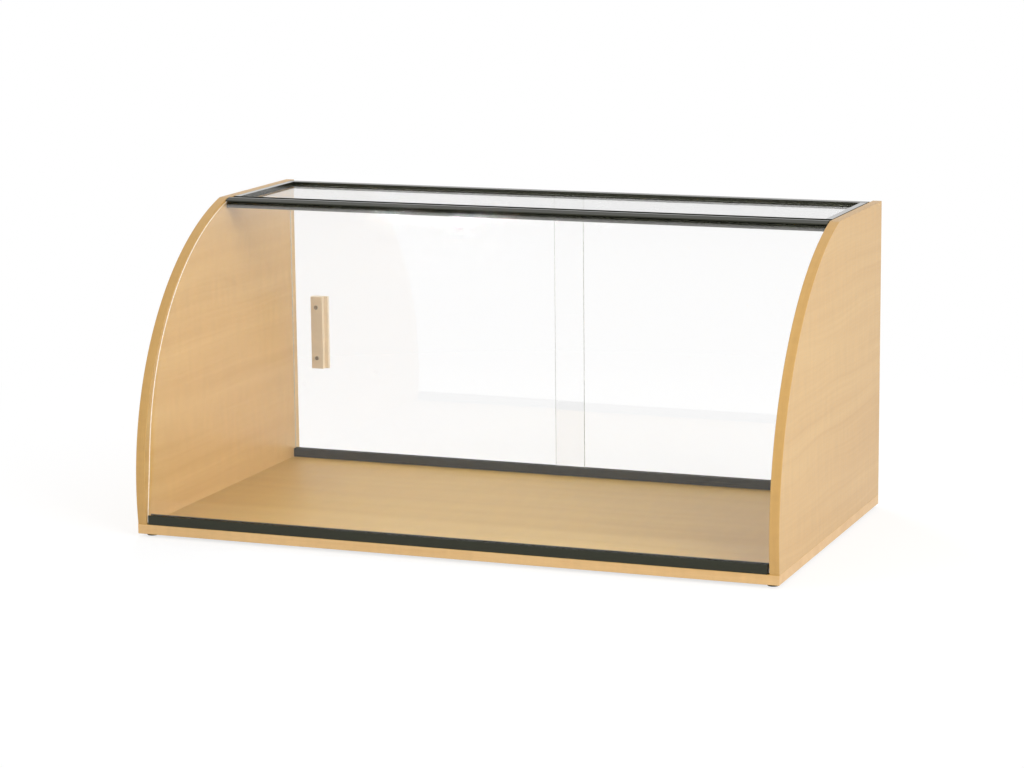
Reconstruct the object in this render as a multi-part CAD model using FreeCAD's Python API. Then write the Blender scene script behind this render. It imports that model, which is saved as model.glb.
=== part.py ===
"""Countertop display case: two plywood side panels on a base board, a sprung curved front
pane, a clear top in a black frame, and two sliding rear doors. Millimetres, +Z up.
X runs along the width (+X to the customer's right), the customer's side is -Y, and the
origin is at the middle of the footprint, on the plane the rubber feet stand on."""
import FreeCAD, Part
import math
import os

Vector = FreeCAD.Vector

# ---- overall sizes ---------------------------------------------------------------
CASE_WIDTH = 914.4          # outside of one side panel to outside of the other
CASE_DEPTH = 504.0          # rear edge to the foremost point of the side panels
CASE_HEIGHT = 432.0         # underside of the base board to the top edge
BOARD = 13.5                # thickness of the veneered plywood
ARRIS = 0.8                 # rounding worked on the board edges
EXTRUSION_ROUNDING = 0.35   # radius on the outer corners of the black strips
FOOT_HEIGHT = 4.5
LONG_EDGE = 50.0            # an edge longer than this runs along a strip
PICK_TOLERANCE = 0.1        # used only to pick edges by their height

# ---- side panel outline ----------------------------------------------------------
BASE_SETBACK = 2.0          # the base's front edge behind the panels' foremost point
CURVE_REACH = 279.4         # how far the front curve stands forward of the top edge
SHOULDER_HEIGHT = 47.5      # height above the base where the front edge is upright

# ---- clear sheets ----------------------------------------------------------------
SHEET = 3.0                 # acrylic thickness of every pane and door
PANE_LEAN_DEG = 7.0         # the front pane's lean where it leaves its channel
PANE_STRAIGHT = 112.0       # its flat stretch before the bend begins
PANE_DROP = 4.7             # its top edge's mid-plane below the case top
PANE_TOP_INSET = 1.6        # its top edge behind the panels' top front corner
PANE_SIDE_GAP = 0.5         # between the front pane and each side panel

# ---- front channel on the base ---------------------------------------------------
CHANNEL_HEIGHT = 13.0
CHANNEL_DEPTH = 11.5
CHANNEL_WALL = 1.5
CHANNEL_FLOOR = 2.0
CHANNEL_END_GAP = 2.5       # between its cut ends and the side panels
PANE_FOOT_GAP = 0.2         # between the channel's front wall and the pane's foot

# ---- top frame -------------------------------------------------------------------
TOP_PANE_RECESS = 5.0       # rail tops above the top pane
PANE_FIT = 0.3              # clearance above and below a sheet in its groove
FLANGE = 1.5                # rail material under the top pane
RAIL_END_GAP = 1.0          # cut ends of the front and rear rails to the side panels
FRONT_RAIL_HEIGHT = 15.5
LIP_THICKNESS = 1.6         # the lip that covers the curved pane's top edge
LIP_NOSE = 9.8              # lip's nose in front of the panels' top corner
LOWER_LIP_NOSE = 5.4        # the lip under the pane, in front of the same corner
PANE_GROOVE_END = 3.6       # end of the curved pane's groove behind that corner
FRONT_RAIL_BACK = 18.6      # rail's rear face behind that corner
TROUGH_DEPTH = 2.2          # shallow trough along the front rail's flat top
TROUGH_WALL = 1.2           # rail left behind it, and between it and the pane's groove
FRONT_GROOVE = 7.0          # depth of the top pane's groove in the front rail
REAR_GROOVE = 3.0           # and in the rear rail
SIDE_GROOVE = 4.3           # and in the side rails
TOP_PANE_BITE = 2.5         # how far the pane enters the side and rear grooves
TOP_PANE_FRONT_BITE = 6.0   # and the front rail's groove
SIDE_RAIL_WIDTH = 9.2
SIDE_RAIL_GAP = 1.5         # open joint between a side rail and its panel

# ---- sliding doors and their tracks ----------------------------------------------
TRACK_SETBACK = 23.5        # lower track's front face in front of the panels' rear edge
REAR_RAIL_STEP = 3.5        # upper rail's front face in front of the lower track's
TRACK_HEIGHT = 13.0
TRACK_WALL = 1.4
SLOT_PLAY = 0.3             # running clearance on each face of a door in its slot
LOWER_SLOT_DEPTH = 5.0
UPPER_SLOT_ROOF = 2.0       # rail material above the door slots
DOOR_BITE = 3.8             # how far a door's top edge stands inside its slot
DOOR_REST_GAP = 0.3         # running clearance under a door
DOOR_SIDE_GAP = 0.5         # closed door to its side panel
DOOR_OVERLAP = 43.0         # the doors' overlap at mid-width when both are closed
TRACK_END_GAP = 1.0

# ---- pull on the left door, finger hole in the right door ------------------------
PULL_LENGTH = 109.0
PULL_FOOT = 18.5            # width of the part screwed to the door
PULL_LIP_REACH = 5.7        # finger lip beyond the foot
PULL_LIP = 6.5              # thickness of that lip
PULL_PROJECTION = 13.7      # door face to the back of the pull
PULL_INSET = 29.9           # inside of the side panel to the pull's outer edge
PULL_CENTRE_HEIGHT = 190.5  # above the base board
PULL_ROUNDING = 1.2
PULL_SCREW_SPACING = 77.0
FINGER_HOLE = 26.0
FINGER_HOLE_INSET = 38.0    # hole's centre from the right door's closing edge

# ---- feet and fasteners ----------------------------------------------------------
FOOT_DIAMETER = 17.0
FOOT_SIDE_INSET = 13.2      # foot centre from the outside of the case
FOOT_END_INSET = 18.0       # foot centre from the base's front and rear edges
FOOT_TAPER = 1.0            # how much smaller its radius is at the ground
FOOT_ROUNDING = 0.6
FOOT_RECESS = 8.4           # bore that takes the screw head
FOOT_WEB = 2.0              # rubber left above the screw head
SCREW_PLAY = 0.05           # hole radius over screw radius
DOWEL_DIAMETER = 6.0
DOWEL_IN_BASE = 9.0
DOWEL_IN_PANEL = 16.0
PIN_DIAMETER = 2.5
PIN_IN_PANEL = 8.0
PIN_IN_RAIL = 8.0

# Each screw: shank diameter, head diameter, head height, length under the head's top.
PANEL_SCREW = dict(shank=4.0, head=8.0, head_height=3.2, length=42.0)
TRACK_SCREW = dict(shank=3.0, head=6.0, head_height=2.4, length=18.5)
CHANNEL_SCREW = dict(shank=2.5, head=4.2, head_height=1.5, length=10.0)
FOOT_SCREW = dict(shank=3.0, head=6.6, head_height=1.8, length=11.0)
PULL_SCREW = dict(shank=3.0, head=6.0, head_height=1.6, length=12.0)
RAIL_SCREW = dict(shank=2.0, head=3.2, head_height=1.2, length=14.0)

# Rows of fasteners: how many, and the first and last one's distance from the ends.
PANEL_SCREW_COUNT = 3
PANEL_SCREW_INSET = 47.0
DOWEL_COUNT = 4
DOWEL_INSET = 92.0
CHANNEL_SCREW_COUNT = 5
TRACK_SCREW_COUNT = 4
STRIP_SCREW_INSET = 60.0
RAIL_SCREW_COUNT = 3
RAIL_SCREW_INSET = 30.0

# ---- worked out from the values above --------------------------------------------
OUTER_X = CASE_WIDTH / 2
INNER_X = OUTER_X - BOARD
REAR = CASE_DEPTH / 2
FRONT = -REAR
BASE_FRONT = FRONT + BASE_SETBACK
BASE_TOP = FOOT_HEIGHT + BOARD
TOP = FOOT_HEIGHT + CASE_HEIGHT

CORNER_Y = FRONT + CURVE_REACH                 # panels' top front corner
SHOULDER_Z = BASE_TOP + SHOULDER_HEIGHT
CURVE_RISE = TOP - SHOULDER_Z
PANEL_RADIUS = (CURVE_REACH ** 2 + CURVE_RISE ** 2) / (2 * CURVE_REACH)
PANEL_CENTRE = (FRONT + PANEL_RADIUS, SHOULDER_Z)

TOP_PANE_TOP = TOP - TOP_PANE_RECESS
GROOVE_TOP = TOP_PANE_TOP + PANE_FIT
GROOVE_BOTTOM = TOP_PANE_TOP - SHEET - PANE_FIT
FRAME_BOTTOM = GROOVE_BOTTOM - FLANGE          # underside of the side and rear rails

TRACK_FRONT = REAR - TRACK_SETBACK
REAR_RAIL_FRONT = TRACK_FRONT - REAR_RAIL_STEP
SLOT_WIDTH = SHEET + 2 * SLOT_PLAY
TRACK_REAR = TRACK_FRONT + 3 * TRACK_WALL + 2 * SLOT_WIDTH
INNER_SLOT = TRACK_FRONT + TRACK_WALL          # front side of the inner slot
OUTER_SLOT = INNER_SLOT + SLOT_WIDTH + TRACK_WALL
SLOT_FLOOR = BASE_TOP + TRACK_HEIGHT - LOWER_SLOT_DEPTH
DOOR_WIDTH = INNER_X + DOOR_OVERLAP / 2 - DOOR_SIDE_GAP
DOOR_BOTTOM = SLOT_FLOOR + DOOR_REST_GAP
DOOR_TOP = FRAME_BOTTOM + DOOR_BITE
DOOR_TRAVEL = 2 * INNER_X - DOOR_WIDTH - 2 * DOOR_SIDE_GAP

SIDE_RAIL_OUTER = INNER_X - SIDE_RAIL_GAP
SIDE_RAIL_INNER = SIDE_RAIL_OUTER - SIDE_RAIL_WIDTH
FRONT_RAIL_REAR = CORNER_Y + FRONT_RAIL_BACK


# ---- helpers ---------------------------------------------------------------------
def box(low, high):
    """A block between two opposite corners."""
    size = [b - a for a, b in zip(low, high)]
    return Part.makeBox(size[0], size[1], size[2], Vector(*low))


def section_edges(points):
    """Straight edges through points of the YZ plane, closed."""
    corners = [Vector(0, y, z) for y, z in points]
    pairs = zip(corners, corners[1:] + corners[:1])
    return [Part.LineSegment(a, b).toShape() for a, b in pairs]


def along_x(edges, half_length):
    """A closed YZ outline drawn out to the same distance on both sides of the middle."""
    solid = Part.Face(Part.Wire(edges)).extrude(Vector(2 * half_length, 0, 0))
    solid.translate(Vector(-half_length, 0, 0))
    return solid


def disc_along_x(centre, radius, half_length):
    """A cylinder about a YZ point, with its axis along X."""
    start = Vector(-half_length, centre[0], centre[1])
    return Part.makeCylinder(radius, 2 * half_length, start, Vector(1, 0, 0))


def arc(centre, radius, start, end):
    """The shorter arc between two YZ points of a circle about centre."""
    middle = Vector(0, *start) + Vector(0, *end)
    outward = (middle * 0.5 - Vector(0, *centre)).normalize()
    crown = Vector(0, *centre) + outward * radius
    return Part.Arc(Vector(0, *start), crown, Vector(0, *end)).toShape()


def rounded(solid, radius, keep):
    """Fillets every edge of the solid that keep(edge) picks."""
    edges = [edge for edge in solid.Edges if keep(edge)]
    return solid.makeFillet(radius, edges)


def runs_at(heights):
    """Picks the long straight edges that lie at one of the heights."""
    def keep(edge):
        limits = edge.BoundBox
        level = any(abs(limits.ZMin - z) < PICK_TOLERANCE for z in heights)
        return level and limits.ZLength < PICK_TOLERANCE and edge.Length > LONG_EDGE
    return keep


def spread(count, half_length, inset):
    """Evenly spaced places from one inset end to the other."""
    first = -half_length + inset
    step = 2 * (half_length - inset) / (count - 1)
    return [first + step * index for index in range(count)]


def screw(at, direction, size, countersunk=True, play=0.0):
    """A screw whose head's outer face is at a point, driven along direction."""
    at, direction = Vector(*at), Vector(*direction)
    shank_radius = size["shank"] / 2 + play
    head_radius = size["head"] / 2 + play
    shank = Part.makeCylinder(shank_radius, size["length"] + play, at, direction)
    if countersunk:
        head = Part.makeCone(head_radius, shank_radius, size["head_height"], at, direction)
    else:
        head = Part.makeCylinder(head_radius, size["head_height"] + play, at, direction)
    return shank.fuse(head).removeSplitter()


def screw_set(places, size, countersunk=True):
    """The screws of one kind as a group, and the holes that they need."""
    screws = [screw(at, way, size, countersunk) for at, way in places]
    holes = [screw(at, way, size, countersunk, SCREW_PLAY) for at, way in places]
    return Part.makeCompound(screws), Part.makeCompound(holes)


# ---- places of the fasteners -----------------------------------------------------
def panel_screw_places():
    middle = INNER_X + BOARD / 2
    ys = spread(PANEL_SCREW_COUNT, REAR, PANEL_SCREW_INSET)
    return [((side * middle, y, FOOT_HEIGHT), (0, 0, 1)) for side in (-1, 1) for y in ys]


def dowels(play=0.0):
    """Beech dowels standing across the joint of the base and each side panel."""
    middle = INNER_X + BOARD / 2
    radius = DOWEL_DIAMETER / 2 + play
    low, height = BASE_TOP - DOWEL_IN_BASE - play, DOWEL_IN_BASE + DOWEL_IN_PANEL + 2 * play
    return Part.makeCompound([
        Part.makeCylinder(radius, height, Vector(side * middle, y, low))
        for side in (-1, 1) for y in spread(DOWEL_COUNT, REAR, DOWEL_INSET)])


def channel_screw_places():
    """In the channel's floor, behind the pane's foot."""
    rear_wall = BASE_FRONT + CHANNEL_DEPTH - CHANNEL_WALL
    y = rear_wall - CHANNEL_SCREW["head"] / 2 - SCREW_PLAY - PANE_FOOT_GAP
    z = BASE_TOP + CHANNEL_FLOOR + CHANNEL_SCREW["head_height"]
    xs = spread(CHANNEL_SCREW_COUNT, INNER_X, STRIP_SCREW_INSET)
    return [((x, y, z), (0, 0, -1)) for x in xs]


def track_screw_places():
    """Up through the base into the solid foot of the door track."""
    y = (TRACK_FRONT + TRACK_REAR) / 2
    xs = spread(TRACK_SCREW_COUNT, INNER_X, STRIP_SCREW_INSET)
    return [((x, y, FOOT_HEIGHT), (0, 0, 1)) for x in xs]


def foot_centres():
    x = OUTER_X - FOOT_SIDE_INSET
    front, rear = BASE_FRONT + FOOT_END_INSET, REAR - FOOT_END_INSET
    return {"foot_front_left": (-x, front), "foot_front_right": (x, front),
            "foot_rear_left": (-x, rear), "foot_rear_right": (x, rear)}


def foot_screw_places():
    head_face = FOOT_HEIGHT - FOOT_WEB - FOOT_SCREW["head_height"]
    return [((x, y, head_face), (0, 0, 1)) for x, y in foot_centres().values()]


def pull_screw_places():
    x = -INNER_X + PULL_INSET + PULL_FOOT / 2
    z = BASE_TOP + PULL_CENTRE_HEIGHT
    y = OUTER_SLOT + SLOT_PLAY
    return [((x, y, z + side * PULL_SCREW_SPACING / 2), (0, 1, 0)) for side in (-1, 1)]


def rail_screw_places():
    """From inside the side rails' pane grooves into the side panels."""
    x = SIDE_RAIL_INNER + SIDE_GROOVE - RAIL_SCREW["head_height"]
    z = (GROOVE_TOP + GROOVE_BOTTOM) / 2
    middle = (FRONT_RAIL_REAR + REAR_RAIL_FRONT) / 2
    half = (REAR_RAIL_FRONT - FRONT_RAIL_REAR) / 2
    ys = [middle + y for y in spread(RAIL_SCREW_COUNT, half, RAIL_SCREW_INSET)]
    return [((side * x, y, z), (side, 0, 0)) for side in (-1, 1) for y in ys]


def rail_pins(play=0.0):
    """Steel pins that hold the front and rear rails' ends in the side panels."""
    front_web = CORNER_Y + (PANE_GROOVE_END + FRONT_RAIL_BACK - FRONT_GROOVE) / 2
    rear_web = (REAR_RAIL_FRONT + INNER_SLOT) / 2
    places = ((front_web, TOP_PANE_TOP - SHEET / 2), (rear_web, (GROOVE_TOP + TOP) / 2))
    length = PIN_IN_PANEL + RAIL_END_GAP + PIN_IN_RAIL
    pins = []
    for side in (-1, 1):
        for y, z in places:
            start = Vector(side * (INNER_X + PIN_IN_PANEL + play), y, z)
            pins.append(Part.makeCylinder(PIN_DIAMETER / 2 + play, length + 2 * play,
                                          start, Vector(-side, 0, 0)))
    return Part.makeCompound(pins)


# ---- boards ----------------------------------------------------------------------
def base_board():
    board = box((-OUTER_X, BASE_FRONT, FOOT_HEIGHT), (OUTER_X, REAR, BASE_TOP))
    board = rounded(board, ARRIS, lambda edge: True)
    for holes in (screw_set(panel_screw_places(), PANEL_SCREW)[1],
                  screw_set(track_screw_places(), TRACK_SCREW)[1],
                  screw_set(channel_screw_places(), CHANNEL_SCREW, False)[1],
                  screw_set(foot_screw_places(), FOOT_SCREW, False)[1],
                  dowels(SCREW_PLAY)):
        board = board.cut(holes)
    return board


def side_panel(side):
    """An upright board with a flat top and a front edge on one circular arc."""
    low_front = PANEL_CENTRE[0] - math.sqrt(PANEL_RADIUS ** 2 - SHOULDER_HEIGHT ** 2)
    outline = [Part.LineSegment(Vector(0, low_front, BASE_TOP), Vector(0, REAR, BASE_TOP)),
               Part.LineSegment(Vector(0, REAR, BASE_TOP), Vector(0, REAR, TOP)),
               Part.LineSegment(Vector(0, REAR, TOP), Vector(0, CORNER_Y, TOP))]
    edges = [line.toShape() for line in outline]
    edges.append(arc(PANEL_CENTRE, PANEL_RADIUS, (CORNER_Y, TOP), (low_front, BASE_TOP)))
    board = along_x(edges, BOARD / 2)
    board = rounded(board, ARRIS, lambda edge: edge.BoundBox.ZMax > BASE_TOP + ARRIS
                    and edge.BoundBox.XLength < ARRIS)
    board.translate(Vector(side * (INNER_X + BOARD / 2), 0, 0))
    for holes in (screw_set(panel_screw_places(), PANEL_SCREW)[1],
                  screw_set(rail_screw_places(), RAIL_SCREW, False)[1],
                  dowels(SCREW_PLAY), rail_pins(SCREW_PLAY)):
        board = board.cut(holes)
    return board


# ---- curved front pane and its channel -------------------------------------------
def pane_path():
    """Foot, end of the flat stretch, top end, centre and radius of the pane's mid-plane."""
    lean = math.radians(PANE_LEAN_DEG)
    inner_wall = BASE_FRONT + CHANNEL_WALL + PANE_FOOT_GAP
    foot = (inner_wall + SHEET / 2 * math.cos(lean),
            BASE_TOP + CHANNEL_FLOOR + SHEET / 2 * math.sin(lean))
    bend = (foot[0] + PANE_STRAIGHT * math.sin(lean), foot[1] + PANE_STRAIGHT * math.cos(lean))
    top = (CORNER_Y + PANE_TOP_INSET, TOP - PANE_DROP)
    rise = (top[0] - bend[0], top[1] - bend[1])
    inward = (math.cos(lean), -math.sin(lean))
    radius = (rise[0] ** 2 + rise[1] ** 2) / (2 * (rise[0] * inward[0] + rise[1] * inward[1]))
    centre = (bend[0] + radius * inward[0], bend[1] + radius * inward[1])
    return foot, bend, top, centre, radius


def curved_front_pane():
    foot, bend, top, centre, radius = pane_path()

    def shifted(point, toward, offset):
        """A point moved by offset along the pane's local thickness direction."""
        return (point[0] + toward[0] * offset, point[1] + toward[1] * offset)

    outward_low = ((bend[0] - centre[0]) / radius, (bend[1] - centre[1]) / radius)
    outward_top = ((top[0] - centre[0]) / radius, (top[1] - centre[1]) / radius)
    half = SHEET / 2
    faces = {}
    for name, offset in (("outer", half), ("inner", -half)):
        faces[name] = (shifted(foot, outward_low, offset), shifted(bend, outward_low, offset),
                       shifted(top, outward_top, offset))
    outer, inner = faces["outer"], faces["inner"]
    edges = [Part.LineSegment(Vector(0, *outer[0]), Vector(0, *outer[1])).toShape(),
             arc(centre, radius + half, outer[1], outer[2]),
             Part.LineSegment(Vector(0, *outer[2]), Vector(0, *inner[2])).toShape(),
             arc(centre, radius - half, inner[2], inner[1]),
             Part.LineSegment(Vector(0, *inner[1]), Vector(0, *inner[0])).toShape(),
             Part.LineSegment(Vector(0, *inner[0]), Vector(0, *outer[0])).toShape()]
    return along_x(edges, INNER_X - PANE_SIDE_GAP)


def front_channel():
    """A U-shaped strip that the pane's lower edge stands in."""
    rear, top = BASE_FRONT + CHANNEL_DEPTH, BASE_TOP + CHANNEL_HEIGHT
    floor = BASE_TOP + CHANNEL_FLOOR
    outline = [(BASE_FRONT, BASE_TOP), (rear, BASE_TOP), (rear, top),
               (rear - CHANNEL_WALL, top), (rear - CHANNEL_WALL, floor),
               (BASE_FRONT + CHANNEL_WALL, floor), (BASE_FRONT + CHANNEL_WALL, top),
               (BASE_FRONT, top)]
    strip = along_x(section_edges(outline), INNER_X - CHANNEL_END_GAP)
    strip = rounded(strip, EXTRUSION_ROUNDING, runs_at([BASE_TOP, top]))
    return strip.cut(screw_set(channel_screw_places(), CHANNEL_SCREW, False)[1])


# ---- top frame -------------------------------------------------------------------
def front_top_rail():
    """Its nose follows the panels' curve, over a groove for the curved pane's top edge."""
    centre, radius = pane_path()[3:]
    half_length = INNER_X - RAIL_END_GAP
    nose, lower_nose = CORNER_Y - LIP_NOSE, CORNER_Y - LOWER_LIP_NOSE
    groove_end = CORNER_Y + PANE_GROOVE_END
    bottom = TOP - FRONT_RAIL_HEIGHT
    body = box((-half_length, nose, bottom), (half_length, FRONT_RAIL_REAR, TOP))
    body = body.common(disc_along_x(PANEL_CENTRE, PANEL_RADIUS, half_length))
    space = box((-half_length, nose, bottom), (half_length, groove_end, TOP - LIP_THICKNESS))
    space = space.common(disc_along_x(PANEL_CENTRE, PANEL_RADIUS - LIP_THICKNESS, half_length))
    under = box((-half_length, lower_nose, bottom), (half_length, groove_end, TOP))
    under = under.common(disc_along_x(centre, radius - SHEET / 2, half_length))
    groove = box((-half_length, FRONT_RAIL_REAR - FRONT_GROOVE, GROOVE_BOTTOM),
                 (half_length, FRONT_RAIL_REAR, GROOVE_TOP))
    trough = box((-half_length, groove_end + TROUGH_WALL, TOP - TROUGH_DEPTH),
                 (half_length, FRONT_RAIL_REAR - TROUGH_WALL, TOP))
    rail = body.cut(space.cut(under)).cut(groove).cut(trough)
    rail = rounded(rail, EXTRUSION_ROUNDING, runs_at([bottom, TOP]))
    return rail.cut(rail_pins(SCREW_PLAY))


def rear_top_rail():
    """Holds the top pane's rear edge and, in two slots, the doors' top edges."""
    rear = TRACK_REAR
    half_length = INNER_X - RAIL_END_GAP
    rail = box((-half_length, REAR_RAIL_FRONT, FRAME_BOTTOM), (half_length, rear, TOP))
    groove = box((-half_length, REAR_RAIL_FRONT, GROOVE_BOTTOM),
                 (half_length, REAR_RAIL_FRONT + REAR_GROOVE, GROOVE_TOP))
    rail = rail.cut(groove)
    for slot in (INNER_SLOT, OUTER_SLOT):
        rail = rail.cut(box((-half_length, slot, FRAME_BOTTOM),
                            (half_length, slot + SLOT_WIDTH, TOP - UPPER_SLOT_ROOF)))
    rail = rounded(rail, EXTRUSION_ROUNDING, runs_at([FRAME_BOTTOM, TOP]))
    return rail.cut(rail_pins(SCREW_PLAY))


def top_side_rail(side):
    outline = [(SIDE_RAIL_INNER, FRAME_BOTTOM), (SIDE_RAIL_OUTER, FRAME_BOTTOM),
               (SIDE_RAIL_OUTER, TOP), (SIDE_RAIL_INNER, TOP),
               (SIDE_RAIL_INNER, GROOVE_TOP), (SIDE_RAIL_INNER + SIDE_GROOVE, GROOVE_TOP),
               (SIDE_RAIL_INNER + SIDE_GROOVE, GROOVE_BOTTOM), (SIDE_RAIL_INNER, GROOVE_BOTTOM)]
    corners = [Vector(side * x, FRONT_RAIL_REAR, z) for x, z in outline]
    face = Part.Face(Part.makePolygon(corners + corners[:1]))
    rail = face.extrude(Vector(0, REAR_RAIL_FRONT - FRONT_RAIL_REAR, 0))
    rail = rounded(rail, EXTRUSION_ROUNDING, runs_at([FRAME_BOTTOM, TOP]))
    return rail.cut(screw_set(rail_screw_places(), RAIL_SCREW, False)[1])


def top_pane():
    half = SIDE_RAIL_INNER + TOP_PANE_BITE
    return box((-half, FRONT_RAIL_REAR - TOP_PANE_FRONT_BITE, TOP_PANE_TOP - SHEET),
               (half, REAR_RAIL_FRONT + TOP_PANE_BITE, TOP_PANE_TOP))


# ---- doors -----------------------------------------------------------------------
def rear_door_track():
    top = BASE_TOP + TRACK_HEIGHT
    half_length = INNER_X - TRACK_END_GAP
    track = box((-half_length, TRACK_FRONT, BASE_TOP), (half_length, TRACK_REAR, top))
    for slot in (INNER_SLOT, OUTER_SLOT):
        track = track.cut(box((-half_length, slot, SLOT_FLOOR),
                              (half_length, slot + SLOT_WIDTH, top)))
    track = rounded(track, EXTRUSION_ROUNDING, runs_at([BASE_TOP, top]))
    return track.cut(screw_set(track_screw_places(), TRACK_SCREW)[1])


def sliding_door_left():
    """Runs in the outer slot, so its pull stands clear of the other door."""
    closed_edge = -INNER_X + DOOR_SIDE_GAP
    front = OUTER_SLOT + SLOT_PLAY
    door = box((closed_edge, front, DOOR_BOTTOM),
               (closed_edge + DOOR_WIDTH, front + SHEET, DOOR_TOP))
    return door.cut(screw_set(pull_screw_places(), PULL_SCREW)[1])


def sliding_door_right():
    """Runs in the inner slot, with a finger hole in place of a pull."""
    closed_edge = INNER_X - DOOR_SIDE_GAP
    front = INNER_SLOT + SLOT_PLAY
    door = box((closed_edge - DOOR_WIDTH, front, DOOR_BOTTOM),
               (closed_edge, front + SHEET, DOOR_TOP))
    centre = Vector(closed_edge - FINGER_HOLE_INSET, front, BASE_TOP + PULL_CENTRE_HEIGHT)
    return door.cut(Part.makeCylinder(FINGER_HOLE / 2, SHEET, centre, Vector(0, 1, 0)))


def door_pull():
    """A maple strip of L section: a foot on the door and a lip to hook fingers behind."""
    left = -INNER_X + PULL_INSET
    right = left + PULL_FOOT + PULL_LIP_REACH
    face = OUTER_SLOT + SLOT_PLAY + SHEET
    back = face + PULL_PROJECTION
    z = BASE_TOP + PULL_CENTRE_HEIGHT - PULL_LENGTH / 2
    outline = [(left, face), (left + PULL_FOOT, face), (left + PULL_FOOT, back - PULL_LIP),
               (right, back - PULL_LIP), (right, back), (left, back)]
    corners = [Vector(x, y, z) for x, y in outline]
    block = Part.Face(Part.makePolygon(corners + corners[:1])).extrude(Vector(0, 0, PULL_LENGTH))
    block = rounded(block, PULL_ROUNDING, lambda edge: edge.BoundBox.YMin > back - PULL_ROUNDING)
    return block.cut(screw_set(pull_screw_places(), PULL_SCREW)[1])


# ---- feet ------------------------------------------------------------------------
def rubber_foot(x, y):
    radius = FOOT_DIAMETER / 2
    foot = Part.makeCone(radius - FOOT_TAPER, radius, FOOT_HEIGHT, Vector(x, y, 0))
    foot = rounded(foot, FOOT_ROUNDING, lambda edge: edge.BoundBox.ZMax < FOOT_ROUNDING)
    recess_depth = FOOT_HEIGHT - FOOT_WEB
    foot = foot.cut(Part.makeCylinder(FOOT_RECESS / 2, recess_depth, Vector(x, y, 0)))
    return foot.cut(screw_set(foot_screw_places(), FOOT_SCREW, False)[1])


# ---- the parts, one file each ----------------------------------------------------
def all_parts():
    parts = {
        "base_board": base_board(),
        "side_panel_left": side_panel(-1),
        "side_panel_right": side_panel(1),
        "front_channel": front_channel(),
        "curved_front_pane": curved_front_pane(),
        "front_top_rail": front_top_rail(),
        "rear_top_rail": rear_top_rail(),
        "top_side_rail_left": top_side_rail(-1),
        "top_side_rail_right": top_side_rail(1),
        "top_pane": top_pane(),
        "rear_door_track": rear_door_track(),
        "sliding_door_left": sliding_door_left(),
        "sliding_door_right": sliding_door_right(),
        "door_pull": door_pull(),
        "panel_dowels": dowels(),
        "rail_pins": rail_pins(),
        "panel_screws": screw_set(panel_screw_places(), PANEL_SCREW)[0],
        "track_screws": screw_set(track_screw_places(), TRACK_SCREW)[0],
        "channel_screws": screw_set(channel_screw_places(), CHANNEL_SCREW, False)[0],
        "foot_screws": screw_set(foot_screw_places(), FOOT_SCREW, False)[0],
        "pull_screws": screw_set(pull_screw_places(), PULL_SCREW)[0],
        "side_rail_screws": screw_set(rail_screw_places(), RAIL_SCREW, False)[0],
    }
    for name, (x, y) in foot_centres().items():
        parts[name] = rubber_foot(x, y)
    return parts


os.makedirs("parts", exist_ok=True)
for node, shape in all_parts().items():
    shape.exportStep(f"parts/{node}.step")
    limits = shape.BoundBox
    print(f"{node}: {len(shape.Solids)} solid(s), "
          f"{limits.XLength:.1f} x {limits.YLength:.1f} x {limits.ZLength:.1f} mm")
print(f"each door slides {DOOR_TRAVEL:.1f} mm")
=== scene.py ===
# %% [markdown]
# # A countertop display case
# Two veneered side panels stand on a base board. A sheet of acrylic is sprung into a curve
# between them, a clear top lies in a black frame, and two clear doors slide at the back.
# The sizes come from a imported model, the frame, which this script never moves or resizes.
# It only decides how the surfaces look and adds the fine shapes that a close view needs.

# %% Load the frame
import bpy
import bmesh
import math
from mathutils import Matrix, Vector


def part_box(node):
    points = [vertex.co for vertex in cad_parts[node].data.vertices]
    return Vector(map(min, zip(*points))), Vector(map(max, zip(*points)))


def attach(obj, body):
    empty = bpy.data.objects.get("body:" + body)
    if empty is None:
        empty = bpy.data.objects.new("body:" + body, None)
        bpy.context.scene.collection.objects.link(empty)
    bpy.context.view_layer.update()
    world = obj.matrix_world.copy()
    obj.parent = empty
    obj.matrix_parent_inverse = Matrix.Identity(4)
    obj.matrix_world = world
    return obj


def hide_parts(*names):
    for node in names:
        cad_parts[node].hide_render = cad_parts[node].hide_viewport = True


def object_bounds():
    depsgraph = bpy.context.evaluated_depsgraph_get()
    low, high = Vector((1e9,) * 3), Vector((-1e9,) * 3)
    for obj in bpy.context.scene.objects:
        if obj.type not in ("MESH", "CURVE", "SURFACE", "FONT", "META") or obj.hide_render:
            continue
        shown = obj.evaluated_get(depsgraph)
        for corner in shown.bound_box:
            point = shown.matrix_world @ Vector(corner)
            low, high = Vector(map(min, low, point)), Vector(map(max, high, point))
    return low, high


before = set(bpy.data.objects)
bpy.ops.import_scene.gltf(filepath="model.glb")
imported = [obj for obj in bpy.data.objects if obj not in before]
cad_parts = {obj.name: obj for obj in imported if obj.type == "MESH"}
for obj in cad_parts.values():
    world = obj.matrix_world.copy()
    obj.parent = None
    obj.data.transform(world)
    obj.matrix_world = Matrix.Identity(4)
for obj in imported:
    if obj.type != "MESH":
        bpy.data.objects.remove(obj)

cad_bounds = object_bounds()
SCENE = bpy.context.scene
SCENE.view_settings.view_transform = "Standard"
print("case size in metres:", [round(b - a, 4) for a, b in zip(*cad_bounds)])

# %% [markdown]
# Blender works in metres and a joiner works in millimetres, so one function turns one into the
# other. Colours are written as they would be picked on a screen, and Blender mixes light in
# linear values, so a second function turns a hex colour into those.

# %% Units and colours
def mm(value):
    return value / 1000


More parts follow.
